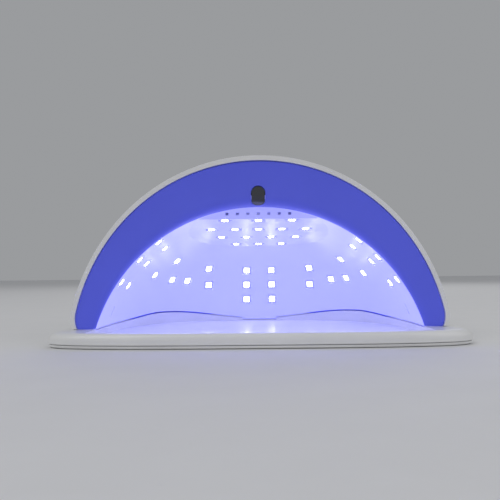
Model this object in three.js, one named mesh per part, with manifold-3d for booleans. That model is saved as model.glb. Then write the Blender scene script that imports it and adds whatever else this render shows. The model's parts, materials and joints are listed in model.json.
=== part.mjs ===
// A dome-shaped UV curing lamp standing on its lift-off tray. Millimetres, +Z up, front towards -Y.
// The origin is on the table, at the centre of the box round the whole lamp.
import * as THREE from 'three';
import { mergeVertices } from 'three/addons/utils/BufferGeometryUtils.js';
import Module from 'manifold-3d';

const wasm = await Module();
wasm.setup();

// ---- driving dimensions ----
const GAP = 0.3; // between pieces that touch
const PART_GAP = 0.4; // round a fitted cover

const TRAY = { half: 116, front: -100, widest: -75, rear: 100, rim: 8.3, floor: 3.3, floorSkin: 1.2,
  sideFlat: 4.2, roundIn: 7, frontRoundIn: 2.5, wall: 4, skin: 2, dishFront: -92,
  coverLow: 0.3, coverHigh: 1.8 };
const HEAD = { base: TRAY.rim + GAP, half: 107, top: 103.2, front: -70, lean: 15, rear: 97, wall: 2.5,
  tuck: 2.5, tuckTop: 18, planPower: 2.6, sidePower: 2.4, footAngle: 85.7, bulge: 0.05 };
const CAVITY = { half: 93, top: 76.7, front: -66, rear: 58, wall: 1.8, planPower: 3, sidePower: 2.7,
  ceilingMid: -17, ceilingHeight: 64.7, ceilingSlope: 0.125, facetFoot: -62, flange: 5, flangeThick: 1.5 };
const WAVE = {
  peak: 11.4, peakX: 70, middle: 5.2, ends: 7.8, endX: 95, gap: 1, notchHalf: 12.5, notch: 4.2,
};
const LED = { size: 5, window: 6.6, ceilingWindow: 7.9, recess: 0.5, board: 1.0, topBoard: 1.6 };
const FRAME = { thick: 2, front: -64, pad: 4, padRadius: 4.5 };
const PANEL = { y: -5, buttonPitch: 16, buttonV: -10, buttonRadius: 5, buttonGap: PART_GAP, proud: 0.8,
  travel: 0.5, displayV: 11, displayX: 30, displayY: 14,
  boardX: 72, boardY: 46, boardDrop: 15, boardThick: 1.6 };
const SCREW = { shank: 1.3, head: 2.6, headHigh: 1.8, hole: 1.6, pilot: 1.5, bore: 3.2, boss: 3.5 };
const MAGNET = { radius: 2.5, high: 2.5, ring: 1.0 };
const FOOT = { radius: 6, high: 0.9 };
const VENT = { pitch: 6, half: 0.9, rear: -61, low: 72.4, high: 74 };
const REAR_SLOT = { x: 30, half: 9, from: 83, low: 32, high: 1.6, pitch: 4, rows: 4 };
const SENSOR = {
  half: 3.7, long: 12, proud: 0.4, behind: 1.6, boardDrop: 5, boardRise: 7, boardWide: 12, boardLong: 9,
};
const JACK = { width: 9, high: 11, deep: 14, z: 14, bore: 2.9, pin: 1 };

const HEAD_SCREWS = [[-80, 38], [80, 38], [-35, 78], [35, 78]];
const MAGNETS = [[-96.5, -20], [96.5, -20], [-58, 64], [58, 64]];
const TRAY_SCREWS = [[-103, -50], [103, -50], [-52, 80], [52, 80]];
const FEET = [[-86, -78], [86, -78], [-62, 66], [62, 66]];
// LEDs of one side wall, as bearing from straight back (degrees) and height
const SIDE_LEDS = [[18, 42], [17.5, 30], [25.5, 33.5], [32, 34.5], [33, 47.5], [43, 38],
  [52.5, 55], [60, 45.5], [81, 57.5], [80.5, 47.5], [65.5, 32], [82, 34.5]];
const BACK_LEDS = [[-4.4, 40.5], [4.4, 40.5], [-4.4, 30], [4.4, 30], [-4.4, 19.2], [4.4, 19.2]];
// rows of the ceiling: how many LEDs, their pitch and the row's place
const CEILING_ROWS = [[3, 19.6, -57], [5, 14.6, -29], [4, 16.4, -1], [3, 15.9, 27]];

// ---- materials ----
const material = (color, roughness, metalness = 0) =>
  new THREE.MeshStandardMaterial({ color, roughness, metalness });
const white = material(0xf2f2f0, 0.3);
const reflector = material(0xf6f6f8, 0.25);
const smoked = material(0x10141c, 0.15);
const rubber = material(0x3a3a3c, 0.9);
const steel = material(0xb8bcc0, 0.35, 1);
const nickel = material(0xd0d2d4, 0.25, 1);
const aluminium = material(0xb4b8ba, 0.5, 1);
const board = material(0xe9ebe6, 0.5);
const greenBoard = material(0x1f5a3a, 0.5);
const black = material(0x1a1a1c, 0.5);
const wire = material(0xb02a24, 0.5);

// ---- solids ----
function withoutSlivers(geometry) {
  const index = geometry.index.array;
  const kept = [];
  for (let i = 0; i < index.length; i += 3) {
    const [a, b, c] = [index[i], index[i + 1], index[i + 2]];
    if (a !== b && b !== c && c !== a) kept.push(a, b, c);
  }
  geometry.setIndex(kept);
  return geometry;
}

function solid(source) {
  let geometry = source.clone();
  geometry.deleteAttribute('normal');
  geometry.deleteAttribute('uv');
  geometry = withoutSlivers(mergeVertices(geometry, 1e-4));
  const vertProperties = new Float32Array(geometry.attributes.position.array);
  const triVerts = new Uint32Array(geometry.index.array);
  return new wasm.Manifold(new wasm.Mesh({ numProp: 3, vertProperties, triVerts }));
}

function geometryOf(body) {
  const mesh = body.getMesh();
  const geometry = new THREE.BufferGeometry();
  geometry.setAttribute('position', new THREE.BufferAttribute(new Float32Array(mesh.vertProperties), 3));
  geometry.setIndex(Array.from(mesh.triVerts));
  return geometry;
}

const box = (x0, x1, y0, y1, z0, z1) => solid(new THREE.BoxGeometry(x1 - x0, y1 - y0, z1 - z0)
  .translate((x0 + x1) / 2, (y0 + y1) / 2, (z0 + z1) / 2));

const rod = (radius, x, y, z0, z1, sides = 14) => solid(
  new THREE.CylinderGeometry(radius, radius, z1 - z0, sides)
    .rotateX(Math.PI / 2).translate(x, y, (z0 + z1) / 2),
);

const union = (first, ...others) => others.reduce((sum, next) => sum.add(next), first);
const less = (first, ...others) => others.reduce((rest, next) => rest.subtract(next), first);

// A closed skin over rings that each hold the same number of points, with a fan over each end.
function loft(rings) {
  const count = rings[0].length;
  const points = rings.flat();
  const faces = [];
  for (let r = 0; r + 1 < rings.length; r += 1) {
    for (let i = 0; i < count; i += 1) {
      const a = r * count + i;
      const b = r * count + (i + 1) % count;
      faces.push(a, b, a + count, b, b + count, a + count);
    }
  }
  for (const [r, flip] of [[0, true], [rings.length - 1, false]]) {
    const middle = rings[r].reduce((sum, p) => sum.add(p), new THREE.Vector3()).divideScalar(count);
    points.push(middle);
    const m = points.length - 1;
    for (let i = 0; i < count; i += 1) {
      const a = r * count + i;
      const b = r * count + (i + 1) % count;
      if (flip) faces.push(b, a, m);
      else faces.push(a, b, m);
    }
  }
  const geometry = new THREE.BufferGeometry().setFromPoints(points);
  geometry.setIndex(faces);
  return solid(geometry);
}

function extrude(outline, depth) {
  return solid(new THREE.ExtrudeGeometry(new THREE.Shape(outline.map((p) => new THREE.Vector2(...p))),
    { depth, bevelEnabled: false }));
}

// A prism along Y over an outline in X and Z.
const prismAlongY = (outline, y0, y1) => solid(geometryOf(extrude(outline, y1 - y0))
  .rotateX(Math.PI / 2).translate(0, y1, 0));

// A prism along X over an outline in Y and Z.
const prismAlongX = (outline, x0, x1) => solid(geometryOf(extrude(outline, x1 - x0))
  .rotateX(Math.PI / 2).rotateZ(Math.PI / 2).translate(x0, 0, 0));

const signedPower = (value, power) => Math.sign(value) * Math.abs(value) ** power;
const oval = (share, power) => (1 - Math.min(Math.max(share, 0), 1) ** power) ** (1 / power);
const mix = (a, b, share) => a + (b - a) * share;

// A level outline: straight across the front, rounded to the rear. ahead moves the straight side forward.
function levelRing(z, half, front, rear, power, ahead, count = 20) {
  const ring = [new THREE.Vector3(half, front - ahead, z)];
  for (let i = 0; i <= count; i += 1) {
    const angle = Math.PI * i / count;
    const x = half * signedPower(Math.cos(angle), 2 / power);
    const y = front + (rear - front) * Math.max(Math.sin(angle), 0) ** (2 / power);
    ring.push(new THREE.Vector3(x, y, z));
  }
  ring.push(new THREE.Vector3(-half, front - ahead, z));
  return ring;
}

// ---- the head's outer form ----
const FOOT_TURN = HEAD.footAngle * Math.PI / 180;
const headShare = (turn) => (Math.cos(turn) - Math.cos(FOOT_TURN)) / (1 - Math.cos(FOOT_TURN));
const footWidth = Math.sin(FOOT_TURN) * (1 + HEAD.bulge * (1 - Math.cos(FOOT_TURN)) ** 2);

// One point of the front arch, turn measured from the top.
function headArch(turn, inset = 0) {
  const z = HEAD.base + (HEAD.top - inset - HEAD.base) * headShare(turn);
  const wide = Math.sin(turn) * (1 + HEAD.bulge * (1 - Math.cos(turn)) ** 2) / footWidth;
  const low = Math.max((HEAD.tuckTop - z) / (HEAD.tuckTop - HEAD.base), 0);
  return { x: (HEAD.half + 1 - inset) * wide - HEAD.tuck * low ** 2, z };
}

const headUp = (z) => Math.max((z - HEAD.base) / (HEAD.top - HEAD.base), 0);
const headFront = (z) => HEAD.front - HEAD.lean * headUp(z) ** 1.2;

function headForm(inset, ahead = 0, below = 0) {
  const rings = [];
  const steps = 15;
  for (let i = 0; i <= steps; i += 1) {
    const turn = FOOT_TURN * (1 - i / steps);
    const { x, z } = headArch(turn, inset);
    const front = headFront(z);
    const deep = (HEAD.rear - inset - front) * oval(headShare(turn), HEAD.sidePower);
    rings.push(levelRing(z, x, front, front + deep, HEAD.planPower, ahead));
  }
  if (below > 0) rings.unshift(rings[0].map((p) => p.clone().setZ(HEAD.base - below)));
  return loft(rings);
}

// ---- the cavity the hand goes in ----
const cavityRise = CAVITY.top - HEAD.base;
const cavityRadius = (CAVITY.half ** 2 + cavityRise ** 2) / (2 * cavityRise);
const cavityShare = (z) => Math.min(Math.max((z - HEAD.base) / cavityRise, 0), 1);

function cavityHalf(z, grow = 0) {
  const up = (cavityShare(z) * cavityRise) - cavityRise + cavityRadius;
  return Math.sqrt(Math.max(cavityRadius ** 2 - up ** 2, 0)) + grow;
}

const cavityLong = CAVITY.rear - CAVITY.front;
const cavityDeep = (z, grow = 0) => cavityLong * oval(cavityShare(z), CAVITY.sidePower) + grow;

function cavityForm(grow, { ahead = 0, low = 0, high = null } = {}) {
  const rings = [];
  const steps = 12;
  for (let i = 0; i <= steps; i += 1) {
    const share = Math.sin(Math.PI / 2 * i / steps);
    const z = HEAD.base + cavityRise * share;
    const last = i === steps;
    const half = last ? 0 : cavityHalf(z, grow);
    const deep = last ? 0 : cavityDeep(z, grow);
    rings.push(levelRing(z + grow * share, half, CAVITY.front, CAVITY.front + deep, CAVITY.planPower, ahead));
  }
  rings.unshift(rings[0].map((p) => p.clone().setZ(low)));
  const form = loft(rings);
  return high === null ? form : form.intersect(box(-300, 300, -300, 300, low - 1, high));
}

const ceilingZ = (y) => CAVITY.ceilingHeight - CAVITY.ceilingSlope * (y - CAVITY.ceilingMid);

// Everything above the flat ceiling and behind the slope that leads down to it.
function aboveCeiling(lift) {
  const foot = CAVITY.facetFoot + lift / 2;
  const head = CAVITY.front + lift;
  const outline = [[foot, ceilingZ(foot) + lift], [120, ceilingZ(120) + lift], [120, 160],
    [head, 160], [head, CAVITY.top + lift / 2]];
  return prismAlongX(outline, -200, 200);
}

// A place on the cavity wall, grow outside it, with the wall's outward direction.
function wallSpot(bearing, z, grow = 0) {
  const turn = bearing * Math.PI / 180;
  const place = (b, height) => {
    const side = Math.abs(Math.sin(b)) / cavityHalf(height, grow);
    const back = Math.abs(Math.cos(b)) / cavityDeep(height, grow);
    const reach = (side ** CAVITY.planPower + back ** CAVITY.planPower) ** (-1 / CAVITY.planPower);
    return new THREE.Vector3(Math.sin(b) * reach, CAVITY.front + Math.cos(b) * reach, height);
  };
  const at = place(turn, z);
  const across = place(turn + 0.01, z).sub(place(turn - 0.01, z)).normalize();
  const up = place(turn, z + 0.5).sub(place(turn, z - 0.5)).normalize();
  const out = new THREE.Vector3().crossVectors(up, across).normalize();
  if (out.dot(new THREE.Vector3(at.x, at.y - CAVITY.front, 0)) < 0) out.negate();
  return { at, out };
}

// A box across the wall, from low to high along the outward direction.
function wallBox(spot, wide, tall, low, high) {
  const along = new THREE.Vector3(-spot.out.y, spot.out.x, 0).normalize();
  const up = new THREE.Vector3().crossVectors(spot.out, along).normalize();
  const turn = new THREE.Matrix4().makeBasis(along, up, spot.out).setPosition(spot.at);
  const block = new THREE.BoxGeometry(wide, tall, high - low).translate(0, 0, (low + high) / 2);
  return solid(block.applyMatrix4(turn));
}

// ---- wave line between the reflector and the tray's raised back ----
function waveZ(x) {
  const side = Math.abs(x);
  if (side < WAVE.notchHalf) return WAVE.notch;
  const rise = 0.5 - 0.5 * Math.cos(Math.PI * side / WAVE.peakX);
  if (side < WAVE.peakX) return mix(WAVE.middle, WAVE.peak, rise);
  const beyond = Math.min((side - WAVE.peakX) / (WAVE.endX - WAVE.peakX), 1);
  return mix(WAVE.ends, WAVE.peak, 0.5 + 0.5 * Math.cos(Math.PI * beyond));
}

function belowWave(shift) {
  const outline = [[-200, -20], [200, -20], [200, waveZ(200) + shift]];
  const places = [];
  for (let x = WAVE.endX; x > WAVE.notchHalf; x -= 7.5) places.push(x);
  places.push(WAVE.notchHalf + 0.01, WAVE.notchHalf - 0.01);
  for (const x of places) outline.push([x, waveZ(x) + shift]);
  for (const x of places.reverse()) outline.push([-x, waveZ(x) + shift]);
  outline.push([-200, waveZ(200) + shift]);
  return prismAlongY(outline, -150, 150);
}

// ---- scene graph ----
const lamp = new THREE.Group();

function add(name, body, look, parent = lamp) {
  const mesh = new THREE.Mesh(body.isBufferGeometry ? body : geometryOf(body), look);
  mesh.name = name;
  parent.add(mesh);
  return mesh;
}

const name = (stem, i) => `${stem}_${i + 1}`;

// A screw with its head low and its shank up, in a frame that starts at the head's underside.
function screwGeometry(length) {
  const profile = [[0, 0.6], [1.1, 0.6], [1.1, 0], [SCREW.head, 0.3], [SCREW.head, SCREW.headHigh],
    [SCREW.shank, SCREW.headHigh], [SCREW.shank, length - 1], [0, length]];
  const points = profile.map((p) => new THREE.Vector2(...p));
  return new THREE.LatheGeometry(points, 10).rotateX(Math.PI / 2);
}

// ---- tray ----
function trayRing(z, inset, frontInset) {
  const ring = [];
  const count = 44;
  for (let i = 0; i < count; i += 1) {
    const angle = 2 * Math.PI * i / count;
    const back = Math.sin(angle) >= 0;
    const power = back ? HEAD.planPower : 3.2;
    const reach = back ? TRAY.rear - inset - TRAY.widest : TRAY.widest - TRAY.front - frontInset;
    const x = (TRAY.half - inset) * signedPower(Math.cos(angle), 2 / power);
    ring.push(new THREE.Vector3(x, TRAY.widest + reach * signedPower(Math.sin(angle), 2 / power), z));
  }
  return ring;
}

function trayTop() {
  const rings = [trayRing(TRAY.coverHigh + GAP, 0, 0)];
  const steps = 5;
  for (let i = 0; i <= steps; i += 1) {
    const turn = Math.PI / 2 * i / steps;
    const z = mix(TRAY.sideFlat, TRAY.rim, Math.sin(turn));
    rings.push(trayRing(z, TRAY.roundIn * (1 - Math.cos(turn)), TRAY.frontRoundIn * (1 - Math.cos(turn))));
  }
  const ceiling = TRAY.rim - TRAY.skin;
  const dishForward = CAVITY.front - TRAY.dishFront;
  const hollow = loft([trayRing(-1, TRAY.wall, TRAY.wall), trayRing(ceiling, TRAY.wall, TRAY.wall)]);
  const tub = cavityForm(CAVITY.wall + 1.6, { ahead: dishForward + 2, low: -2, high: TRAY.rim });
  const dish = cavityForm(0, { ahead: dishForward, low: TRAY.floor, high: 30 });
  const underWave = belowWave(-WAVE.gap / 2);
  const upstand = cavityForm(CAVITY.wall, { low: TRAY.floor - 1, high: 30 }).intersect(underWave);
  let body = loft(rings).subtract(hollow.subtract(tub));
  const linerRoom = cavityForm(CAVITY.wall + 0.5, { low: 0, high: 30 }).subtract(underWave);
  body = union(body, upstand).subtract(dish).subtract(linerRoom);
  body = body.subtract(box(-300, 300, -300, 300, -5, TRAY.coverHigh + GAP));
  for (const [x, y] of TRAY_SCREWS) {
    body = body.add(rod(SCREW.boss, x, y, TRAY.coverHigh + GAP, ceiling + 0.5));
    body = body.subtract(rod(SCREW.pilot, x, y, 0, ceiling - 0.3, 14));
  }
  for (const [x, y] of MAGNETS) {
    const pocket = rod(MAGNET.radius + GAP, x, y, ceiling - MAGNET.high - GAP, ceiling);
    const ring = rod(MAGNET.radius + GAP + MAGNET.ring, x, y, ceiling - MAGNET.high, ceiling + 0.5);
    body = body.add(ring).subtract(pocket);
  }
  const dip = solid(new THREE.SphereGeometry(60, 40, 24).translate(0, TRAY.front + 16, TRAY.rim + 58.6));
  add('tray_top', body.subtract(dip), white);
}

function trayBottomCover() {
  let body = loft([trayRing(TRAY.coverLow, 1.2, 1.2), trayRing(TRAY.coverLow + 0.5, 0.6, 0.6),
    trayRing(TRAY.coverHigh, 0.6, 0.6)]);
  for (const [x, y] of FEET) body = body.subtract(rod(FOOT.radius + GAP, x, y, -1, FOOT.high + GAP, 16));
  for (const [x, y] of TRAY_SCREWS) body = body.subtract(rod(SCREW.hole, x, y, -1, 5, 14));
  add('tray_bottom_cover', body, white);
}

function trayFittings() {
  const ceiling = TRAY.rim - TRAY.skin;
  FEET.forEach(([x, y], i) => add(name('rubber_foot', i), rod(FOOT.radius, x, y, 0, FOOT.high, 16), rubber));
  MAGNETS.forEach(([x, y], i) => add(name('tray_magnet', i),
    rod(MAGNET.radius, x, y, ceiling - GAP - MAGNET.high, ceiling - GAP), nickel));
  TRAY_SCREWS.forEach(([x, y], i) => {
    const flat = [[0, 0], [SCREW.head, 0], [SCREW.head, 0.2],
      [SCREW.shank, 0.25], [SCREW.shank, 4.6], [0, 5.4]];
    const points = flat.map((p) => new THREE.Vector2(...p));
    const shank = new THREE.LatheGeometry(points, 10).rotateX(Math.PI / 2);
    add(name('tray_screw', i), shank, steel).position.set(x, y, 0.02);
  });
}

// ---- head ----
// The panel's own frame: its origin on the dome, w straight out of the surface.
function panelFrame() {
  const level = (y) => {
    let low = 0;
    let high = FOOT_TURN;
    for (let i = 0; i < 40; i += 1) {
      const turn = (low + high) / 2;
      const { z } = headArch(turn);
      const reach = headFront(z) + (HEAD.rear - headFront(z)) * oval(headShare(turn), HEAD.sidePower);
      if (reach < y) low = turn;
      else high = turn;
    }
    return headArch((low + high) / 2).z;
  };
  const tilt = Math.atan((level(PANEL.y - 8) - level(PANEL.y + 8)) / 16);
  const group = new THREE.Group();
  group.position.set(0, PANEL.y, level(PANEL.y));
  group.rotation.x = -tilt;
  group.updateMatrixWorld(true);
  lamp.add(group);
  return group;
}

const panel = panelFrame();
const toPanel = panel.matrixWorld.clone().invert();
const inPanel = (body) => solid(geometryOf(body).applyMatrix4(toPanel));
const fromPanel = (body) => solid(geometryOf(body).applyMatrix4(panel.matrixWorld));
const domeDrop = (x) => HEAD.half - Math.sqrt(HEAD.half ** 2 - x ** 2);
const BUTTON_X = [-1.5, -0.5, 0.5, 1.5].map((n) => n * PANEL.buttonPitch);
const PANEL_SCREWS = [[-30, 14], [30, 14]];
const boardTop = -PANEL.boardDrop;

const wholeHead = headForm(0);

function outerShell() {
  const inside = headForm(HEAD.wall, 8, 6);
  let bosses = HEAD_SCREWS.map(([x, y]) => rod(SCREW.boss, x, y, HEAD.base + FRAME.pad + GAP, 60));
  const panelBosses = PANEL_SCREWS.map(([x, v]) => fromPanel(rod(3, x, v, boardTop + GAP, 4)));
  const trimmed = headForm(HEAD.wall / 2);
  bosses = bosses.map((boss) => boss.intersect(trimmed));
  let body = wholeHead.subtract(inside);
  body = union(body, ...bosses, ...panelBosses.map((boss) => boss.intersect(trimmed)));
  const pilots = HEAD_SCREWS.map(([x, y]) => rod(SCREW.pilot, x, y, HEAD.base, 27, 14));
  const panelPilots = PANEL_SCREWS.map(([x, v]) => fromPanel(rod(1.2, x, v, boardTop - 1, boardTop + 7, 14)));
  const holeRadius = PANEL.buttonRadius + PANEL.buttonGap;
  const holes = BUTTON_X.map((x) => fromPanel(rod(holeRadius, x, PANEL.buttonV, -12, 10, 20)));
  const pane = fromPanel(box(-PANEL.displayX / 2 - GAP, PANEL.displayX / 2 + GAP,
    PANEL.displayV - PANEL.displayY / 2 - GAP, PANEL.displayV + PANEL.displayY / 2 + GAP, -8, 6));
  const socketHalf = JACK.width / 2 + GAP;
  const socket = box(-socketHalf, socketHalf, 70, 130, JACK.z + 1.4, JACK.z + 2 + JACK.high);
  const slots = [];
  for (let i = 0; i < REAR_SLOT.rows; i += 1) {
    const low = REAR_SLOT.low + REAR_SLOT.pitch * i;
    for (const x of [-REAR_SLOT.x, REAR_SLOT.x]) {
      slots.push(box(x - REAR_SLOT.half, x + REAR_SLOT.half, REAR_SLOT.from, 130, low, low + REAR_SLOT.high));
    }
  }
  body = less(body, ...pilots, ...panelPilots, ...holes, pane, socket, ...slots);
  add('outer_shell', body, white);
}

function bezelSection(turn) {
  const outer = headArch(turn, HEAD.wall + PART_GAP);
  const share = headShare(turn);
  const innerZ = HEAD.base + cavityRise * share;
  const inner = { x: cavityHalf(innerZ), z: innerZ };
  const edge = headFront(outer.z) + 1;
  const lip = CAVITY.front - PART_GAP;
  const shoulder = mix(edge, lip, 0.42);
  const thick = 2.2;
  const profile = [[0, edge], [0.4, mix(edge, shoulder, 0.62)], [0.78, shoulder],
    [0.9, mix(shoulder, lip, 0.22)], [0.97, mix(shoulder, lip, 0.5)],
    [1, mix(shoulder, lip, 0.8)], [1, lip], [0.93, lip],
    [0.76, Math.min(shoulder + thick, lip)], [0, Math.min(edge + thick, lip)]];
  return profile.map(([q, y]) => new THREE.Vector3(mix(outer.x, inner.x, q), y, mix(outer.z, inner.z, q)));
}

function bezelForm(forward = 0) {
  const rings = [];
  const steps = 28;
  for (let i = 0; i <= steps; i += 1) {
    const turn = FOOT_TURN * (2 * i / steps - 1);
    const ring = bezelSection(Math.abs(turn));
    rings.push(turn < 0 ? ring.map((p) => new THREE.Vector3(-p.x, p.y, p.z)) : ring);
  }
  for (const point of rings.flat()) point.y -= forward;
  return loft(rings);
}

function frontBezel() {
  const hole = pill(SENSOR.half + GAP, SENSOR.long + 2 * GAP, -14, 9);
  add('front_bezel', bezelForm().subtract(hole), white);
}

// The pill-shaped sensor window sits square to the bezel's sloping face at its top.
const sensorFace = bezelSection(0);
const sensorPlace = sensorFace[1].clone().lerp(sensorFace[4], 0.62);
const sensorTilt = Math.atan2(sensorFace[4].y - sensorFace[1].y, sensorFace[1].z - sensorFace[4].z);

function pill(half, long, low, high) {
  const shape = new THREE.Shape();
  shape.absarc(0, long / 2 - half, half, 0, Math.PI);
  shape.absarc(0, half - long / 2, half, Math.PI, 2 * Math.PI);
  const bar = new THREE.ExtrudeGeometry(shape, { depth: high - low, bevelEnabled: false, curveSegments: 10 });
  bar.translate(0, 0, low).rotateX(Math.PI / 2 + sensorTilt);
  return solid(bar.translate(...sensorPlace.toArray()));
}

function reflectorLiner() {
  const flangeSlab = box(-200, 200, CAVITY.front, CAVITY.front + CAVITY.flangeThick, HEAD.base + GAP, 200);
  const wide = cavityForm(CAVITY.wall + CAVITY.flange);
  const flange = wide.intersect(flangeSlab).intersect(headForm(HEAD.wall + 1));
  const outside = cavityForm(CAVITY.wall, { low: 0 }).subtract(aboveCeiling(CAVITY.wall));
  const inside = cavityForm(0, { ahead: 5, low: -5 }).subtract(aboveCeiling(0));
  let body = outside.add(flange).subtract(inside).subtract(belowWave(WAVE.gap / 2));
  const windows = [...BACK_LEDS, ...SIDE_LEDS, ...SIDE_LEDS.map(([bearing, z]) => [-bearing, z])]
    .map(([bearing, z]) => wallBox(wallSpot(bearing, z), LED.window, LED.window, -4, CAVITY.wall + 6));
  const slits = [-72, 72].map((bearing) => wallBox(wallSpot(bearing, 16.5), 1.6, 7, -3, 5));
  const vents = [-3, -2, -1, 0, 1, 2, 3].map((n) => VENT.pitch * n)
    .map((x) => box(x - VENT.half, x + VENT.half, -70, VENT.rear, VENT.low, VENT.high));
  body = less(body, ...windows, ...slits, ...vents);
  for (const place of ceilingLeds()) {
    body = body.subtract(ceilingBox(place, LED.ceilingWindow, LED.window, -3, CAVITY.wall + 2));
  }
  add('reflector_liner', body, reflector);
}

function ceilingLeds() {
  const places = [];
  for (const [count, pitch, y] of CEILING_ROWS) {
    for (let i = 0; i < count; i += 1) places.push([(i - (count - 1) / 2) * pitch, y]);
  }
  return places;
}

// A box square to the flat ceiling, from low to high above it.
function ceilingBox([x, y], wide, long, low, high) {
  return solid(new THREE.BoxGeometry(wide, long, high - low).translate(0, 0, (low + high) / 2)
    .rotateX(-Math.atan(CAVITY.ceilingSlope)).translate(x, y, ceilingZ(y)));
}

function ceilingPlate(low, high, inset) {
  const shape = new THREE.Shape();
  shape.absellipse(0, 4, 39 - inset, 47 - inset, 0, 2 * Math.PI);
  const depth = high - low;
  const geometry = new THREE.ExtrudeGeometry(shape, { depth, bevelEnabled: false, curveSegments: 20 });
  return solid(geometry.translate(0, 0, low).rotateX(-Math.atan(CAVITY.ceilingSlope))
    .translate(0, CAVITY.ceilingMid, CAVITY.ceilingHeight));
}

function ledBoards() {
  const low = CAVITY.wall + GAP;
  let top = ceilingPlate(low, low + LED.topBoard, 0);
  for (const place of ceilingLeds()) {
    top = top.add(ceilingBox(place, LED.size, LED.size, LED.recess, low + 0.5));
  }
  top = top.intersect(box(-200, 200, CAVITY.facetFoot + 2, 200, 0, 200));
  add('led_board_top', top, board);
  const plate = ceilingPlate(low + LED.topBoard + GAP, low + LED.topBoard + GAP + 2.5, 3);
  add('heat_spreader', plate.intersect(box(-200, 200, CAVITY.facetFoot + 3, 200, 0, 200)), aluminium);
  const skin = cavityForm(low + LED.board).subtract(cavityForm(low, { ahead: 5, low: -5 }));
  const curved = (stem, leds, zone) => {
    let body = skin.intersect(zone);
    for (const [bearing, z] of leds) {
      body = body.add(wallBox(wallSpot(bearing, z), LED.size, LED.size, LED.recess, low + 0.6));
    }
    add(stem, body, board);
  };
  curved('led_board_back', BACK_LEDS, box(-17, 17, 30, 100, 13, 47));
  curved('led_board_right', SIDE_LEDS, box(28, 120, -61, 100, 25, 62));
  curved('led_board_left', SIDE_LEDS.map(([bearing, z]) => [-bearing, z]), box(-120, -28, -61, 100, 25, 62));
}

function baseFrame() {
  const level = box(-200, 200, FRAME.front, 200, HEAD.base, HEAD.base + FRAME.thick);
  const within = headForm(HEAD.wall + PART_GAP, 0, 6);
  const opening = cavityForm(CAVITY.wall + 0.5, { ahead: 10, low: -5 });
  let body = within.intersect(level);
  for (const [x, y] of HEAD_SCREWS) {
    body = body.add(rod(FRAME.padRadius, x, y, HEAD.base, HEAD.base + FRAME.pad));
    body = less(body, rod(SCREW.bore, x, y, 0, HEAD.base + 2.2), rod(SCREW.hole, x, y, 0, 40, 14));
  }
  const floor = HEAD.base + FRAME.thick;
  for (const [x, y] of MAGNETS) {
    const ring = rod(MAGNET.radius + GAP + MAGNET.ring, x, y, floor - 0.5, floor + MAGNET.high);
    body = body.add(ring.subtract(rod(MAGNET.radius + GAP, x, y, floor - 0.5, floor + 9)));
  }
  for (const x of [-20, 20]) body = body.add(rod(2.5, x, 70, floor - 0.5, JACK.z - GAP));
  add('base_frame', body.subtract(opening), white);
}

function headFittings() {
  HEAD_SCREWS.forEach(([x, y], i) => {
    add(name('head_screw', i), screwGeometry(13), steel).position.set(x, y, HEAD.base + 0.1);
  });
  const floor = HEAD.base + FRAME.thick + GAP;
  MAGNETS.forEach(([x, y], i) => add(name('head_magnet', i),
    rod(MAGNET.radius, x, y, floor, floor + MAGNET.high), nickel));
  const windowBar = pill(SENSOR.half, SENSOR.long, -SENSOR.behind, 9);
  add('sensor_window', windowBar.intersect(bezelForm(SENSOR.proud)), smoked);
  const under = -SENSOR.boardDrop;
  const plate = new THREE.BoxGeometry(SENSOR.boardWide, SENSOR.boardLong, 1.2);
  const sensorBoard = solid(plate.translate(0, SENSOR.boardRise, under));
  const eye = rod(1.5, 0, 4, under, -SENSOR.behind - GAP, 14);
  const placed = geometryOf(union(sensorBoard, eye)).rotateX(Math.PI / 2 + sensorTilt);
  add('sensor_board', placed.translate(sensorPlace.x, sensorPlace.y, sensorPlace.z), greenBoard);
}

function electronics() {
  const top = JACK.z + 1.6;
  let main = box(-28, 28, 64, 80, JACK.z, top);
  const capacitor = rod(4, -18, 73, top - 0.2, top + 9);
  const coil = box(10, 22, 67, 77, top - 0.2, top + 6);
  const chip = box(-9, 5, 66, 72, top - 0.2, top + 1.5);
  main = union(main, capacitor, coil, chip);
  add('main_board', main, greenBoard);
  const rear = HEAD.rear - HEAD.wall - 2;
  let jack = box(-JACK.width / 2, JACK.width / 2, rear - JACK.deep, rear, top + GAP, top + GAP + JACK.high);
  const middle = top + GAP + JACK.high / 2;
  const alongY = (radius, y0, y1, sides) => solid(new THREE.CylinderGeometry(radius, radius, y1 - y0, sides)
    .translate(0, (y0 + y1) / 2, middle));
  jack = jack.subtract(alongY(JACK.bore, rear - 10, rear + 5, 24));
  jack = jack.add(alongY(JACK.pin, rear - 11, rear - 1, 12));
  add('dc_jack', jack, black);
}

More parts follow.
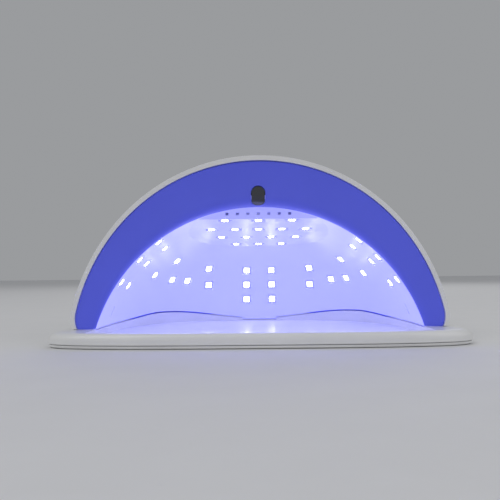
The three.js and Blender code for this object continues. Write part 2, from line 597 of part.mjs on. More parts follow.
function controls() {
  let card = box(-PANEL.boardX / 2, PANEL.boardX / 2, -PANEL.boardY / 2 + 2, PANEL.boardY / 2 + 2,
    boardTop - PANEL.boardThick, boardTop);
  card = less(card, ...PANEL_SCREWS.map(([x, v]) => rod(1.4, x, v, boardTop - 5, boardTop + 5, 14)));
  add('control_board', card, greenBoard, panel);
  PANEL_SCREWS.forEach(([x, v], i) => {
    const profile = [[0, 0], [2.2, 0.3], [2.2, 1.4], [1, 1.4], [1, 7.6], [0, 8.2]];
    const points = profile.map((p) => new THREE.Vector2(...p));
    const turned = new THREE.LatheGeometry(points, 10).rotateX(Math.PI / 2);
    const mesh = add(name('board_screw', i), turned, steel, panel);
    mesh.position.set(x, v, boardTop - PANEL.boardThick - 1.4 - 0.1);
  });
  const proudDome = inPanel(headForm(-PANEL.proud, 2));
  const underShell = inPanel(headForm(HEAD.wall + GAP, 2));
  const switchHigh = 4;
  const switchTop = boardTop + GAP + switchHigh;
  BUTTON_X.forEach((x, i) => {
    const flangeTop = -domeDrop(Math.abs(x) + PANEL.buttonRadius + 1) - HEAD.wall - PART_GAP;
    const cap = rod(PANEL.buttonRadius, x, PANEL.buttonV, flangeTop - 0.5, 4, 20).intersect(proudDome);
    const collar = rod(PANEL.buttonRadius + 1.2, x, PANEL.buttonV, flangeTop - 1, flangeTop, 20)
      .intersect(underShell);
    const stem = rod(1.6, x, PANEL.buttonV, switchTop + PANEL.travel + 0.2, flangeTop - 0.5, 14);
    add(name('button', i), union(cap, collar, stem), white, panel);
    const base = boardTop + GAP;
    const can = box(x - 3, x + 3, PANEL.buttonV - 3, PANEL.buttonV + 3, base, switchTop - 0.5);
    const plunger = rod(1.7, x, PANEL.buttonV, switchTop - 1, switchTop);
    add(name('tact_switch', i), can.add(plunger), black, panel);
  });
  const halfX = PANEL.displayX / 2;
  const halfY = PANEL.displayY / 2;
  const pane = box(-halfX, halfX, PANEL.displayV - halfY, PANEL.displayV + halfY, -9, 6);
  const skin = wholeHead.subtract(headForm(2, 5, 5));
  add('display_window', fromPanel(pane).intersect(skin), smoked);
  const moduleTop = -domeDrop(halfX + 2) - HEAD.wall - 1.4;
  const low = PANEL.displayV - halfY - 1;
  const high = PANEL.displayV + halfY + 1;
  let module = box(-halfX - 2, halfX + 2, low, high, moduleTop - 5, moduleTop);
  for (const x of [-halfX, halfX]) {
    for (const v of [-5, 5]) {
      module = module.add(rod(0.8, x, PANEL.displayV + v, boardTop + GAP, moduleTop - 4, 10));
    }
  }
  add('display_module', module, black, panel);
}

// Internal leads, each one round tube along a smooth curve.
function lead(stem, points, look) {
  const route = new THREE.CatmullRomCurve3(points.map((p) => new THREE.Vector3(...p)));
  const section = new THREE.Shape().absarc(0, 0, 1.1, 0, 2 * Math.PI);
  add(stem, new THREE.ExtrudeGeometry(section, { steps: 10, extrudePath: route, curveSegments: 4 }), look);
}

function leads() {
  lead('control_lead', [[12, 74, 22.1], [14, 78, 34], [14, 66, 58], [14, 40, 72], [14, 22, 76]], wire);
  lead('top_led_lead', [[-6, 76, 16.1], [-8, 78, 32], [-8, 68, 48], [-8, 52, 62], [-8, 38, 66]], wire);
  for (const side of [-1, 1]) {
    const stem = side < 0 ? 'left_led_lead' : 'right_led_lead';
    const path = [[26, 76, 17.2], [36, 72, 22], [44, 62, 28], [47, 56.5, 32]];
    lead(stem, path.map(([x, y, z]) => [side * x, y, z]), wire);
  }
}

trayTop();
trayBottomCover();
trayFittings();
outerShell();
frontBezel();
reflectorLiner();
ledBoards();
baseFrame();
headFittings();
electronics();
controls();
leads();

export default lamp;
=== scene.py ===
# The looks of a dome-shaped UV curing lamp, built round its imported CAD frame. Lengths are in metres.
import json
import math

import bmesh
import bpy
from mathutils import Matrix, Vector


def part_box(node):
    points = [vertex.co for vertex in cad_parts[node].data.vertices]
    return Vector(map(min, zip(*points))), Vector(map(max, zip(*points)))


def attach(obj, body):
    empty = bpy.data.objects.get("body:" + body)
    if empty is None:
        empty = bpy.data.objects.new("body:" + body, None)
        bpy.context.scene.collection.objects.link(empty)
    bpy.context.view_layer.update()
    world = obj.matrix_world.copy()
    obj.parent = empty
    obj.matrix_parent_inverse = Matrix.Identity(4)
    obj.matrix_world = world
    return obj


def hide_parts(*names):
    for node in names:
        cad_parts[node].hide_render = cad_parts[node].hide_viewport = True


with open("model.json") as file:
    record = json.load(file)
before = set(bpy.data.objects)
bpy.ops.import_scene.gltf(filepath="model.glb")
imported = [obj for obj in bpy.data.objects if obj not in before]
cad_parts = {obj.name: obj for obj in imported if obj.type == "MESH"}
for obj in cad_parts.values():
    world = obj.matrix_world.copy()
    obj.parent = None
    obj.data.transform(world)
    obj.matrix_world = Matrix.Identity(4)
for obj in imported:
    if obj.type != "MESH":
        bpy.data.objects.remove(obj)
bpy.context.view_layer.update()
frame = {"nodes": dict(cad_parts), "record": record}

MM = 0.001

# ---- camera ----
FOCAL_PER_WIDTH = 684.7 / 500
CAMERA_PLACE = Vector((0, -455, 41)) * MM
CAMERA_PITCH = math.radians(1.67)
CAMERA_YAW = math.radians(0.73)
CAMERA_ROLL = math.radians(-0.6)


def make_camera():
    data = bpy.data.cameras.new("camera")
    data.sensor_width = 36
    data.lens = data.sensor_width * FOCAL_PER_WIDTH
    data.clip_start = 0.01
    camera = bpy.data.objects.new("camera", data)
    bpy.context.collection.objects.link(camera)
    turn = Matrix.Rotation(CAMERA_YAW, 4, "Z") @ Matrix.Rotation(math.pi / 2 + CAMERA_PITCH, 4, "X")
    camera.matrix_world = Matrix.Translation(CAMERA_PLACE) @ turn @ Matrix.Rotation(CAMERA_ROLL, 4, "Z")
    bpy.context.scene.camera = camera


make_camera()

# ---- sizes, read from the frame where the frame has them (millimetres) ----
shell_low, shell_high = [corner / MM for corner in map(Vector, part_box("outer_shell"))]
tray_low, tray_high = [corner / MM for corner in map(Vector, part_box("tray_top"))]
cover_low, cover_high = [corner / MM for corner in map(Vector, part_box("tray_bottom_cover"))]

GAP = 0.3
FITTED_GAP = 0.4
BASE = shell_low.z
TOP = shell_high.z
REAR = shell_high.y
FRONT = -70
LEAN = FRONT - shell_low.y
HEAD_HALF = 108
WALL = 2.5
TUCK = 2.5
TUCK_TOP = 18
PLAN_POWER = 2.6
SIDE_POWER = 2.4
FOOT_TURN = math.radians(85.7)
BULGE = 0.05

CAVITY_HALF = 93
CAVITY_TOP = 76.7
CAVITY_FRONT = -66
CAVITY_REAR = 58
CAVITY_WALL = 1.8
CAVITY_PLAN = 3
CAVITY_SIDE = 2.7
CEILING_MID = -17
CEILING_HEIGHT = 64.7
CEILING_SLOPE = 0.125
FACET_FOOT = -62

WAVE_PEAK = 11.4
WAVE_PEAK_X = 70
WAVE_MIDDLE = 5.2
WAVE_ENDS = 7.8
WAVE_END_X = 95
WAVE_GAP = 1.0
NOTCH_HALF = 12.5
NOTCH = 4.2

TRAY_HALF = tray_high.x
TRAY_FRONT = tray_low.y
TRAY_REAR = tray_high.y
TRAY_WIDEST = -75
TRAY_RIM = BASE - GAP
TRAY_FLOOR = 3.3
TRAY_LOW = tray_low.z
SIDE_FLAT = 4.2
ROUND_IN = 7
FRONT_ROUND_IN = 2.5
DISH_FRONT = -92

LED_WINDOW = 6.6
CEILING_WINDOW = 7.9
SIDE_LEDS = [(18, 42), (17.5, 30), (25.5, 33.5), (32, 34.5), (33, 47.5), (43, 38),
             (52.5, 55), (60, 45.5), (81, 57.5), (80.5, 47.5), (65.5, 32), (82, 34.5)]
BACK_LEDS = [(side * 4.4, z) for z in (40.5, 30, 19.2) for side in (-1, 1)]
CEILING_ROWS = [(3, 19.6, -57), (5, 14.6, -29), (4, 16.4, -1), (3, 15.9, 27)]


# ---- materials ----
def material(name, color, roughness, metallic=0.0, grain=900, depth=0.04, tint=0.05, coat=0.0,
             emission=None, strength=0.0):
    """Moulded or plated stuff: faint colour drift, uneven gloss and a fine grain."""
    made = bpy.data.materials.new(name)
    made.use_nodes = True
    nodes = made.node_tree.nodes
    links = made.node_tree.links
    shader = nodes["Principled BSDF"]
    place = nodes.new("ShaderNodeTexCoord")

    def noise(scale, detail):
        node = nodes.new("ShaderNodeTexNoise")
        node.inputs["Scale"].default_value = scale
        node.inputs["Detail"].default_value = detail
        links.new(place.outputs["Object"], node.inputs["Vector"])
        return node.outputs["Fac"]

    ramp = nodes.new("ShaderNodeValToRGB")
    ramp.color_ramp.elements[0].position = 0.3
    ramp.color_ramp.elements[0].color = [c * (1 - tint) for c in color] + [1]
    ramp.color_ramp.elements[1].position = 0.7
    ramp.color_ramp.elements[1].color = list(color) + [1]
    links.new(noise(35, 3), ramp.inputs["Fac"])
    links.new(ramp.outputs["Color"], shader.inputs["Base Color"])
    gloss = nodes.new("ShaderNodeMapRange")
    gloss.inputs["To Min"].default_value = roughness * 0.85
    gloss.inputs["To Max"].default_value = min(roughness * 1.2, 1)
    links.new(noise(160, 4), gloss.inputs["Value"])
    links.new(gloss.outputs["Result"], shader.inputs["Roughness"])
    bump = nodes.new("ShaderNodeBump")
    bump.inputs["Strength"].default_value = depth
    bump.inputs["Distance"].default_value = 0.0002
    links.new(noise(grain, 2), bump.inputs["Height"])
    links.new(bump.outputs["Normal"], shader.inputs["Normal"])
    shader.inputs["Metallic"].default_value = metallic
    shader.inputs["Coat Weight"].default_value = coat
    shader.inputs["Coat Roughness"].default_value = 0.12
    if emission:
        shader.inputs["Emission Color"].default_value = list(emission) + [1]
        shader.inputs["Emission Strength"].default_value = strength
    return made


RECORD_COLORS = {entry["slot"]: entry["base_color"][:3] for entry in frame["record"]["materials"]}
# Painted LED light: a violet-blue glow given to the reflector liner so it looks lit by the LEDs.
PAINTED_LED_GLOW = (0.36, 0.38, 1.0)
LOOKS = {
    "shell_plastic": dict(roughness=0.28, coat=0.3),
    # Painted LED light: the bezel's deep blue base colour and faint blue glow stand in for the LEDs' light falling on
    # it. They are not the plastic's own colour.
    "bezel_plastic": dict(color=(0.1, 0.12, 0.68), roughness=0.35, coat=0.15, emission=(0.04, 0.06, 0.5),
                          strength=0.35),
    "button_plastic": dict(roughness=0.3, coat=0.3),
    "tray_plastic": dict(roughness=0.32, coat=0.2),
    # Painted LED light: the liner's lavender base colour and violet glow stand in for the LEDs' light on white
    # plastic.
    "reflector_plastic": dict(color=(0.5, 0.51, 0.88), roughness=0.3, emission=PAINTED_LED_GLOW,
                              strength=0.5, tint=0.02),
    "led_board": dict(roughness=0.5, grain=1500),
    "circuit_board": dict(roughness=0.4, grain=1500, coat=0.3),
    "heat_plate": dict(roughness=0.4, metallic=1.0, grain=2500, depth=0.2),
    "foot_rubber": dict(roughness=0.85, grain=2500, depth=0.3),
    "magnet_nickel": dict(roughness=0.15, metallic=1.0),
    "screw_steel": dict(roughness=0.35, metallic=1.0, grain=2500),
    "smoked_window": dict(roughness=0.08, coat=1.0, depth=0.01),
    "black_plastic": dict(roughness=0.45, grain=1800, depth=0.15),
    "lead_wire": dict(roughness=0.5, grain=1200),
}
SLOTS = {slot: material(slot, **{"color": RECORD_COLORS[slot], **look}) for slot, look in LOOKS.items()}
LENS = material("led_lens", (0.6, 0.6, 0.95), 0.2, emission=(0.25, 0.27, 1.0), strength=4.0)
DIE = material("led_die", (0.9, 0.9, 1.0), 0.3, emission=(0.85, 0.86, 1.0), strength=14.0)
PRINT = material("key_print", (0.16, 0.17, 0.2), 0.5)
DIGIT = material("display_digit", (0.1, 0.6, 0.9), 0.4, emission=(0.25, 0.75, 1.0), strength=2.0)

for row in frame["record"]["subparts"]:
    node = frame["nodes"][row["node"]]
    node.data.materials.clear()
    node.data.materials.append(SLOTS[row["material_slot"]])


# ---- mesh code (millimetres in, metres out) ----
def mesh_piece(name, points, faces, look=None):
    mesh = bpy.data.meshes.new(name)
    mesh.from_pydata([Vector(p) * MM for p in points], [], faces)
    made = bpy.data.objects.new(name, mesh)
    bpy.context.collection.objects.link(made)
    soup = bmesh.new()
    soup.from_mesh(mesh)
    bmesh.ops.remove_doubles(soup, verts=soup.verts, dist=1e-7)
    bmesh.ops.dissolve_degenerate(soup, edges=soup.edges, dist=1e-8)
    wires = [edge for edge in soup.edges if not edge.link_faces]
    bmesh.ops.delete(soup, geom=wires, context="EDGES")
    bmesh.ops.recalc_face_normals(soup, faces=soup.faces)
    if soup.calc_volume(signed=True) < 0:
        bmesh.ops.reverse_faces(soup, faces=soup.faces)
    soup.to_mesh(mesh)
    soup.free()
    if look:
        mesh.materials.append(look)
    return made


def loft(name, rings, look=None):
    """A closed skin over rings of equally many points, with a fan over each end."""
    count = len(rings[0])
    points = [p for ring in rings for p in ring]
    faces = []
    for r in range(len(rings) - 1):
        for i in range(count):
            a, b = r * count + i, r * count + (i + 1) % count
            faces.append((a, b, b + count, a + count))
    for r in (0, len(rings) - 1):
        if len({round(p[0], 6) for p in rings[r]}) == 1 and len({round(p[2], 6) for p in rings[r]}) == 1:
            continue  # the form closes on a line or a point here
        middle = sum((Vector(p) for p in rings[r]), Vector()) / count
        points.append(middle)
        faces += [(r * count + i, r * count + (i + 1) % count, len(points) - 1) for i in range(count)]
    return mesh_piece(name, points, faces, look)


def settle(piece):
    """Applies the piece's modifiers to its mesh."""
    graph = bpy.context.evaluated_depsgraph_get()
    made = bpy.data.meshes.new_from_object(piece.evaluated_get(graph))
    piece.modifiers.clear()
    old = piece.data
    piece.data = made
    bpy.data.meshes.remove(old)


def combine(piece, other, operation):
    """Cuts, joins or intersects piece with other, which is used up."""
    step = piece.modifiers.new("combine", "BOOLEAN")
    step.operation = operation
    step.solver = "MANIFOLD"
    step.object = other
    settle(piece)
    bpy.data.objects.remove(other)
    return piece


def cut(piece, *others):
    for other in others:
        combine(piece, other, "DIFFERENCE")
    return piece


def smooth(piece, angle=35):
    for face in piece.data.polygons:
        face.use_smooth = True
    piece.data.set_sharp_from_angle(angle=math.radians(angle))
    return piece


def soften(piece, width, angle=40, segments=2):
    """A small rounding on every sharp edge."""
    step = piece.modifiers.new("soften", "BEVEL")
    step.width = width * MM
    step.segments = segments
    step.limit_method = "ANGLE"
    step.angle_limit = math.radians(angle)
    settle(piece)
    return piece


def brick(low, high, matrix=None):
    corners = [(x, y, z) for x in (low[0], high[0]) for y in (low[1], high[1]) for z in (low[2], high[2])]
    if matrix:
        corners = [matrix @ Vector(c) for c in corners]
    faces = [(0, 1, 3, 2), (4, 6, 7, 5), (0, 4, 5, 1), (2, 3, 7, 6), (0, 2, 6, 4), (1, 5, 7, 3)]
    return corners, faces


def bricks(name, list_of_bricks, look=None):
    points, faces = [], []
    for corners, sides in list_of_bricks:
        start = len(points)
        points += corners
        faces += [tuple(start + i for i in side) for side in sides]
    return mesh_piece(name, points, faces, look)


def column(name, radius, low, high, matrix=None, sides=40, x=0, y=0):
    rings = []
    for z in (low, high):
        ring = [Vector((x + radius * math.cos(2 * math.pi * i / sides),
                        y + radius * math.sin(2 * math.pi * i / sides), z)) for i in range(sides)]
        rings.append([matrix @ p for p in ring] if matrix else ring)
    return loft(name, rings)


def signed_power(value, power):
    return math.copysign(abs(value) ** power, value)


def oval(share, power):
    return (1 - min(max(share, 0), 1) ** power) ** (1 / power)


def mix(a, b, share):
    return a + (b - a) * share


def level_ring(z, half, front, rear, power, ahead=0, count=120):
    """A level outline: straight across the front, rounded to the rear."""
    ring = [(half, front - ahead, z)]
    for i in range(count + 1):
        angle = math.pi * i / count
        ring.append((half * signed_power(math.cos(angle), 2 / power),
                     front + (rear - front) * max(math.sin(angle), 0) ** (2 / power), z))
    ring.append((-half, front - ahead, z))
    return ring


# ---- the head's outer form ----
FOOT_WIDTH = math.sin(FOOT_TURN) * (1 + BULGE * (1 - math.cos(FOOT_TURN)) ** 2)


def head_share(turn):
    return (math.cos(turn) - math.cos(FOOT_TURN)) / (1 - math.cos(FOOT_TURN))


def head_arch(turn, inset=0):
    z = BASE + (TOP - inset - BASE) * head_share(turn)
    wide = math.sin(turn) * (1 + BULGE * (1 - math.cos(turn)) ** 2) / FOOT_WIDTH
    low = max((TUCK_TOP - z) / (TUCK_TOP - BASE), 0)
    return (HEAD_HALF - inset) * wide - TUCK * low ** 2, z


def head_front(z):
    return FRONT - LEAN * max((z - BASE) / (TOP - BASE), 0) ** 1.2


def head_form(name, inset, ahead=0, below=0, steps=90):
    rings = []
    for i in range(steps + 1):
        turn = FOOT_TURN * (1 - i / steps)
        x, z = head_arch(turn, inset)
        front = head_front(z)
        deep = (REAR - inset - front) * oval(head_share(turn), SIDE_POWER)
        rings.append(level_ring(z, x, front, front + deep, PLAN_POWER, ahead))
    if below:
        rings.insert(0, [(x, y, BASE - below) for x, y, z in rings[0]])
    return loft(name, rings)


# ---- the cavity ----
RISE = CAVITY_TOP - BASE
RADIUS = (CAVITY_HALF ** 2 + RISE ** 2) / (2 * RISE)


def cavity_share(z):
    return min(max((z - BASE) / RISE, 0), 1)


def cavity_half(z, grow=0):
    up = cavity_share(z) * RISE - RISE + RADIUS
    return math.sqrt(max(RADIUS ** 2 - up ** 2, 0)) + grow


def cavity_deep(z, grow=0):
    return (CAVITY_REAR - CAVITY_FRONT) * oval(cavity_share(z), CAVITY_SIDE) + grow


def cavity_form(name, grow, ahead=0, low=0, steps=70):
    rings = []
    for i in range(steps + 1):
        share = math.sin(math.pi / 2 * i / steps)
        z = BASE + RISE * share
        last = i == steps
        half = 0 if last else cavity_half(z, grow)
        deep = 0 if last else cavity_deep(z, grow)
        rings.append(level_ring(z + grow * share, half, CAVITY_FRONT, CAVITY_FRONT + deep, CAVITY_PLAN, ahead))
    rings.insert(0, [(x, y, low) for x, y, z in rings[0]])
    return loft(name, rings)


def ceiling_z(y):
    return CEILING_HEIGHT - CEILING_SLOPE * (y - CEILING_MID)


def prism_x(name, outline, x0, x1):
    return loft(name, [[(x, y, z) for y, z in outline] for x in (x0, x1)])


def above_ceiling(lift):
    foot, head = FACET_FOOT + lift / 2, CAVITY_FRONT + lift
    outline = [(foot, ceiling_z(foot) + lift), (120, ceiling_z(120) + lift), (120, 160),
               (head, 160), (head, CAVITY_TOP + lift / 2)]
    return prism_x("above_ceiling", outline, -200, 200)


def wall_spot(bearing, z):
    """A frame on the cavity wall: its place, its level and upward directions, and straight out."""
    def place(turn, height):
        side = abs(math.sin(turn)) / cavity_half(height)
        back = abs(math.cos(turn)) / cavity_deep(height)
        reach = (side ** CAVITY_PLAN + back ** CAVITY_PLAN) ** (-1 / CAVITY_PLAN)
        return Vector((math.sin(turn) * reach, CAVITY_FRONT + math.cos(turn) * reach, height))

    turn = math.radians(bearing)
    at = place(turn, z)
    across = (place(turn + 0.01, z) - place(turn - 0.01, z)).normalized()
    rise = (place(turn, z + 0.5) - place(turn, z - 0.5)).normalized()
    out = rise.cross(across).normalized()
    if out.dot(Vector((at.x, at.y - CAVITY_FRONT, 0))) < 0:
        out.negate()
    along = Vector((-out.y, out.x, 0)).normalized()
    up = out.cross(along).normalized()
    turned = Matrix((along, up, out)).transposed().to_4x4()
    return Matrix.Translation(at) @ turned


def ceiling_spot(x, y):
    return Matrix.Translation((x, y, ceiling_z(y))) @ Matrix.Rotation(-math.atan(CEILING_SLOPE), 4, "X")


def ceiling_places():
    return [((i - (count - 1) / 2) * pitch, y) for count, pitch, y in CEILING_ROWS for i in range(count)]


WALL_SPOTS = {
    "back": [wall_spot(*led) for led in BACK_LEDS],
    "right": [wall_spot(*led) for led in SIDE_LEDS],
    "left": [wall_spot(-bearing, z) for bearing, z in SIDE_LEDS],
}
CEILING_SPOTS = [ceiling_spot(*place) for place in ceiling_places()]


def wave_z(x):
    side = abs(x)
    if side < NOTCH_HALF:
        return NOTCH
    if side < WAVE_PEAK_X:
        return mix(WAVE_MIDDLE, WAVE_PEAK, 0.5 - 0.5 * math.cos(math.pi * side / WAVE_PEAK_X))
    beyond = min((side - WAVE_PEAK_X) / (WAVE_END_X - WAVE_PEAK_X), 1)
    return mix(WAVE_ENDS, WAVE_PEAK, 0.5 + 0.5 * math.cos(math.pi * beyond))


def below_wave(shift):
    """Everything under the wave line, as a strip of columns of points joined across."""
    places = [-200] + [-WAVE_END_X + i * 1.5 for i in range(55)] + [-NOTCH_HALF - 0.01, -NOTCH_HALF + 0.01]
    places += [-x for x in reversed(places)]
    rings = []
    for x in places:
        z = wave_z(x) + shift
        rings.append([(x, -150, -20), (x, 150, -20), (x, 150, z), (x, -150, z)])
    return loft("below_wave", rings)


# ---- the panel's own frame, level with the display and keys ----
display_low, display_high = [corner / MM for corner in map(Vector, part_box("display_window"))]
press = next(j for j in frame["record"]["behaviour"]["joints"] if j["name"] == "button_1_press")
PANEL_OUT = -Vector(press["axis"]).normalized()
PANEL_Y = -5


def dome_top(y):
    low, high = 0, FOOT_TURN
    for _ in range(40):
        turn = (low + high) / 2
        z = head_arch(turn)[1]
        reach = head_front(z) + (REAR - head_front(z)) * oval(head_share(turn), SIDE_POWER)
        low, high = (turn, high) if reach < y else (low, turn)
    return head_arch(low)[1]


PANEL_TILT = math.atan2(PANEL_OUT.y, PANEL_OUT.z)
PANEL = Matrix.Translation((0, PANEL_Y, dome_top(PANEL_Y))) @ Matrix.Rotation(-PANEL_TILT, 4, "X")
SENSOR_PLACE = 0.62
SENSOR_HOLE_HALF = 4.0
SENSOR_HOLE_LONG = 12.6
BUTTON_PITCH = 16
BUTTON_V = -10
BUTTON_RADIUS = 5
BUTTON_X = [(n - 1.5) * BUTTON_PITCH for n in range(4)]
DISPLAY_V = 11
DISPLAY_HALF = (15, 7)


# ---- visible pieces ----
def finish_piece(piece, body, slot, *nodes):
    if not any(piece.data.materials):
        piece.data.materials.clear()
        piece.data.materials.append(SLOTS[slot])
    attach(piece, body)
    if nodes:
        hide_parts(*nodes)
    return piece


def make_shell():
    shell = head_form("dome_shell", 0)
    cut(shell, head_form("inside", WALL, 8, 6))
    soften(shell, 0.5, 60, 3)
    cut(shell, *[column("key_hole", BUTTON_RADIUS + FITTED_GAP, -12, 10, PANEL, 48, x, BUTTON_V) for x in BUTTON_X])
    half_x, half_y = DISPLAY_HALF
    cut(shell, bricks("pane_hole", [brick((-half_x - GAP, DISPLAY_V - half_y - GAP, -8),
                                          (half_x + GAP, DISPLAY_V + half_y + GAP, 6), PANEL)]))
    jack_low, jack_high = [corner / MM for corner in map(Vector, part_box("dc_jack"))]
    socket = brick((jack_low.x - GAP, 70, jack_low.z - GAP), (jack_high.x + GAP, 130, jack_high.z + GAP))
    slots = [brick((side * 30 - 9, 83, 32 + 4 * i), (side * 30 + 9, 130, 33.6 + 4 * i))
             for i in range(4) for side in (-1, 1)]
    cut(shell, bricks("rear_holes", [socket] + slots))
    finish_piece(smooth(shell), "head", "shell_plastic", "outer_shell")


def bezel_section(turn):
    outer_x, outer_z = head_arch(turn, WALL + FITTED_GAP)
    inner_z = BASE + RISE * head_share(turn)
    inner_x = cavity_half(inner_z)
    edge = head_front(outer_z) + 1
    lip = CAVITY_FRONT - FITTED_GAP
    shoulder = mix(edge, lip, 0.42)
    thick = 2.2
    profile = [(0, edge + 0.5), (0.015, edge), (0.2, mix(edge, shoulder, 0.32)), (0.4, mix(edge, shoulder, 0.6)),
               (0.6, mix(edge, shoulder, 0.83)), (0.75, mix(edge, shoulder, 0.97)),
               (0.84, mix(shoulder, lip, 0.06)), (0.9, mix(shoulder, lip, 0.18)), (0.945, mix(shoulder, lip, 0.32)),
               (0.975, mix(shoulder, lip, 0.5)), (0.993, mix(shoulder, lip, 0.72)), (1, mix(shoulder, lip, 0.88)),
               (1, lip), (0.93, lip), (0.76, min(shoulder + thick, lip)), (0, min(edge + thick, lip))]
    return [(mix(outer_x, inner_x, q), y, mix(outer_z, inner_z, q)) for q, y in profile]


def pill(name, half, long, low, high):
    corner = 14
    outline = []
    for i in range(2 * corner + 2):
        turn = math.pi * (i if i <= corner else i - 1) / corner
        middle = (long / 2 - half) * (1 if i <= corner else -1)
        outline.append((half * math.cos(turn), middle + half * math.sin(turn)))
    outer, inner = Vector(bezel_section(0)[3]), Vector(bezel_section(0)[9])
    tilt = math.atan2(inner.y - outer.y, outer.z - inner.z)
    centre = outer.lerp(inner, SENSOR_PLACE)
    matrix = Matrix.Translation(centre) @ Matrix.Rotation(math.pi / 2 + tilt, 4, "X")
    return loft(name, [[matrix @ Vector((x, y, z)) for x, y in outline] for z in (low, high)])


def make_bezel():
    steps = 150
    rings = []
    for i in range(steps + 1):
        turn = FOOT_TURN * (2 * i / steps - 1)
        side = 1 if turn >= 0 else -1
        rings.append([(side * x, y, z) for x, y, z in bezel_section(abs(turn))])
    bezel = loft("opening_bezel", rings)
    cut(bezel, pill("sensor_hole", SENSOR_HOLE_HALF, SENSOR_HOLE_LONG, -14, 9))
    finish_piece(smooth(bezel, 50), "head", "bezel_plastic", "front_bezel")


def make_liner():
    outside = cavity_form("reflector", CAVITY_WALL)
    flange = cavity_form("flange", CAVITY_WALL + 5)
    slab = bricks("slab", [brick((-200, CAVITY_FRONT - 1, BASE + GAP), (200, CAVITY_FRONT + 1.5, 200))])
    combine(flange, slab, "INTERSECT")
    combine(flange, head_form("room", WALL + 1), "INTERSECT")
    cut(outside, above_ceiling(CAVITY_WALL))
    combine(outside, flange, "UNION")
    inside = cavity_form("inside", 0, 5, -5)
    cut(inside, above_ceiling(0))
    cut(outside, inside, below_wave(WAVE_GAP / 2))
    half = LED_WINDOW / 2
    windows = [brick((-half, -half, -4), (half, half, CAVITY_WALL + 6), spot)
               for spots in WALL_SPOTS.values() for spot in spots]
    windows += [brick((-CEILING_WINDOW / 2, -half, -3), (CEILING_WINDOW / 2, half, CAVITY_WALL + 2), spot)
                for spot in CEILING_SPOTS]
    windows += [brick((-0.8, -3.5, -3), (0.8, 3.5, 5), wall_spot(side * 72, 16.5)) for side in (-1, 1)]
    windows += [brick((n * 6 - 0.9, -70, 72.4), (n * 6 + 0.9, -61, 74)) for n in range(-3, 4)]
    cut(outside, bricks("windows", windows))
    finish_piece(smooth(outside, 28), "head", "reflector_plastic", "reflector_liner")


def rounded_square(half, corner, z, matrix, count=5):
    ring = []
    for quarter in range(4):
        turn0 = quarter * math.pi / 2
        cx = (half - corner) * (1 if quarter in (0, 3) else -1)
        cy = (half - corner) * (1 if quarter in (0, 1) else -1)
        for i in range(count):
            turn = turn0 + math.pi / 2 * i / (count - 1)
            ring.append(matrix @ Vector((cx + corner * math.cos(turn), cy + corner * math.sin(turn), z)))
    return ring


def join(name, parts):
    """One piece out of several meshes."""
    soup = bmesh.new()
    for part in parts:
        soup.from_mesh(part.data)
        bpy.data.objects.remove(part)
    mesh = bpy.data.meshes.new(name)
    soup.to_mesh(mesh)
    soup.free()
    made = bpy.data.objects.new(name, mesh)
    bpy.context.collection.objects.link(made)
    return made


def make_leds():
    """A domed lens over each package, and the bright chip in it; low is towards the hand."""
    for stem, spots in list(WALL_SPOTS.items()) + [("top", CEILING_SPOTS)]:
        lenses, dies = [], []
        for spot in spots:
            lenses.append(loft("lens", [rounded_square(2.2, 0.6, 0.49, spot), rounded_square(2.15, 0.7, 0.3, spot),
                                        rounded_square(1.8, 0.9, 0.12, spot), rounded_square(1.0, 0.8, 0.04, spot)]))
            dies.append(loft("die", [rounded_square(1.7, 0.3, 0.1, spot), rounded_square(1.5, 0.3, -0.05, spot)]))
        lens_piece = join("led_lenses_" + stem, lenses)
        lens_piece.data.materials.append(LENS)
        finish_piece(smooth(lens_piece), "head", "led_board")
        die_piece = join("led_chips_" + stem, dies)
        die_piece.data.materials.append(DIE)
        finish_piece(smooth(die_piece), "head", "led_board")


def tray_ring(z, inset, front_inset, count=240):
    ring = []
    for i in range(count):
        angle = 2 * math.pi * i / count
        back = math.sin(angle) >= 0
        power = PLAN_POWER if back else 3.2
        reach = TRAY_REAR - inset - TRAY_WIDEST if back else TRAY_WIDEST - TRAY_FRONT - front_inset
        ring.append(((TRAY_HALF - inset) * signed_power(math.cos(angle), 2 / power),
                     TRAY_WIDEST + reach * signed_power(math.sin(angle), 2 / power), z))
    return ring


def level_slab(low, high):
    return bricks("slab", [brick((-300, -300, low), (300, 300, high))])


def make_tray():
    rings = [tray_ring(TRAY_LOW, 0.4, 0.4), tray_ring(TRAY_LOW + 0.4, 0, 0)]
    steps = 14
    for i in range(steps + 1):
        turn = math.pi / 2 * i / steps
        rings.append(tray_ring(mix(SIDE_FLAT, TRAY_RIM, math.sin(turn)), ROUND_IN * (1 - math.cos(turn)),
                               FRONT_ROUND_IN * (1 - math.cos(turn))))
    tray = loft("tray_body", rings)
    ahead = CAVITY_FRONT - DISH_FRONT
    upstand = cavity_form("upstand", CAVITY_WALL, low=TRAY_FLOOR - 1)
    combine(upstand, below_wave(-WAVE_GAP / 2), "INTERSECT")
    combine(tray, upstand, "UNION")
    cut(tray, combine(cavity_form("dish", 0, ahead, TRAY_FLOOR), level_slab(0, 30), "INTERSECT"))
    room = combine(cavity_form("room", CAVITY_WALL + 0.5), level_slab(-1, 30), "INTERSECT")
    cut(tray, cut(room, below_wave(-WAVE_GAP / 2)))
    ball = bmesh.new()
    bmesh.ops.create_uvsphere(ball, u_segments=160, v_segments=120, radius=60 * MM)
    ball_mesh = bpy.data.meshes.new("dip")
    ball.to_mesh(ball_mesh)
    ball.free()
    dip = bpy.data.objects.new("dip", ball_mesh)
    bpy.context.collection.objects.link(dip)
    for vertex in ball_mesh.vertices:
        vertex.co += Vector((0, TRAY_FRONT + 16, TRAY_RIM + 58.6)) * MM
    cut(tray, dip)
    finish_piece(smooth(tray, 30), "tray", "tray_plastic", "tray_top")


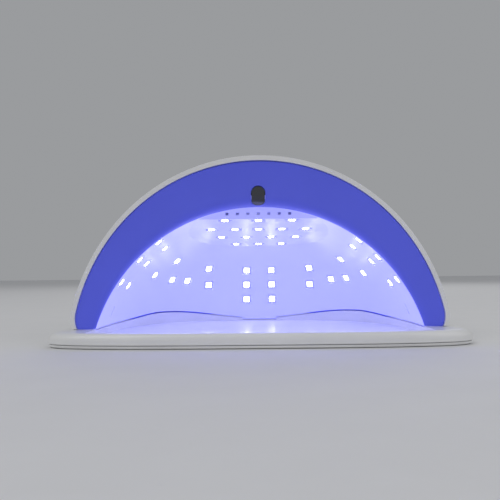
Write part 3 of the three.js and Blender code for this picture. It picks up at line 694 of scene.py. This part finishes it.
def make_cover():
    low, high = cover_low.z, cover_high.z
    cover = loft("tray_underside", [tray_ring(low, 1.2, 1.2), tray_ring(low + 0.5, 0.6, 0.6),
                                    tray_ring(high, 0.6, 0.6)])
    for n in range(4):
        foot_low, foot_high = [corner / MM for corner in map(Vector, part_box(f"rubber_foot_{n + 1}"))]
        centre = (foot_low + foot_high) / 2
        cut(cover, column("foot_room", (foot_high.x - foot_low.x) / 2 + GAP, -1, foot_high.z + GAP,
                          x=centre.x, y=centre.y))
        head_low, head_high = [corner / MM for corner in map(Vector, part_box(f"tray_screw_{n + 1}"))]
        centre = (head_low + head_high) / 2
        cut(cover, column("screw_room", (head_high.x - head_low.x) / 2 + GAP, -1, 5, x=centre.x, y=centre.y))
    finish_piece(smooth(cover, 50), "tray", "tray_plastic", "tray_bottom_cover")


SEGMENTS = {"0": "abcdef", "1": "bc", "3": "abcdg", "6": "acdefg", "9": "abcdfg"}
SEGMENT_PLACES = {"a": (0, 1, 0), "g": (0, 0, 0), "d": (0, -1, 0), "b": (0.5, 0.5, 1), "c": (0.5, -0.5, 1),
                  "f": (-0.5, 0.5, 1), "e": (-0.5, -0.5, 1)}


def digits(name, text, middle, height, surface, look, body):
    """Seven-segment digits laid just over a surface, looking along the panel's outward direction."""
    half = height / 2
    wide = height * 0.5
    stroke = height * 0.1
    points, faces = [], []
    out = PANEL.to_3x3() @ Vector((0, 0, 1))
    for n, letter in enumerate(text):
        x = middle[0] + (n - (len(text) - 1) / 2) * height * 0.75
        for segment in SEGMENTS[letter]:
            across, up, standing = SEGMENT_PLACES[segment]
            centre = Vector((x + across * wide, middle[1] + up * half, 0))
            reach = (half if standing else wide) / 2 - stroke * 0.6
            for side in (-1, 1):
                outline = [(-reach, 0), (-reach + stroke / 2, side * stroke / 2),
                           (reach - stroke / 2, side * stroke / 2), (reach, 0)]
                start = len(points)
                for along, aside in outline:
                    flat = Vector((aside, along, 0)) if standing else Vector((along, aside, 0))
                    above = PANEL @ (centre + flat + Vector((0, 0, 12)))
                    hit, place, _, _ = surface.ray_cast(above * MM, -out)
                    points.append((place / MM if hit else above) + out * 0.03)
                faces.append((start, start + 1, start + 2, start + 3))
    mesh = mesh_piece(name, points, faces, look)
    thicken = mesh.modifiers.new("thicken", "SOLIDIFY")
    thicken.thickness = 0.04 * MM
    thicken.offset = 1
    settle(mesh)
    return finish_piece(mesh, body, "button_plastic")


def make_controls():
    window = frame["nodes"]["display_window"]
    digits("display_digits", "60", (0, DISPLAY_V), 8, window, DIGIT, "head")
    for n, text in enumerate(("10", "30", "60", "99")):
        digits(f"key_print_{n + 1}", text, (BUTTON_X[n], BUTTON_V), 3, frame["nodes"][f"button_{n + 1}"], PRINT,
               f"key_{n + 1}")


# ---- studio ----
def make_floor():
    reach = 3.0
    floor = mesh_piece("floor", [(x / MM, y / MM, -0.05) for x, y in ((-reach, -reach), (reach, -reach),
                                                                     (reach, reach), (-reach, reach))], [(0, 1, 2, 3)])
    floor.data.materials.append(material("floor_paper", (0.78, 0.78, 0.79), 0.9, grain=120, tint=0.02))


def make_light(name, place, size, power):
    data = bpy.data.lights.new(name, "AREA")
    data.size = size
    data.energy = power
    lamp = bpy.data.objects.new(name, data)
    bpy.context.collection.objects.link(lamp)
    lamp.location = place
    lamp.rotation_euler = (Vector((0, 0, 0.05)) - Vector(place)).to_track_quat("-Z", "Y").to_euler()


def make_world():
    world = bpy.data.worlds.new("studio")
    bpy.context.scene.world = world
    world.use_nodes = True
    world.node_tree.nodes["Background"].inputs["Color"].default_value = (0.85, 0.87, 0.9, 1)
    world.node_tree.nodes["Background"].inputs["Strength"].default_value = 0.38


make_shell()
make_bezel()
make_liner()
make_leds()
make_tray()
make_cover()
make_controls()
make_floor()
make_light("key_light", (-0.7, -0.8, 1.1), 0.9, 4.5)
make_light("fill_light", (0.9, -0.5, 0.7), 0.9, 2)
make_light("rear_light", (0.2, 1.1, 0.9), 0.9, 2.5)
make_world()
bpy.context.scene.view_settings.view_transform = "Standard"
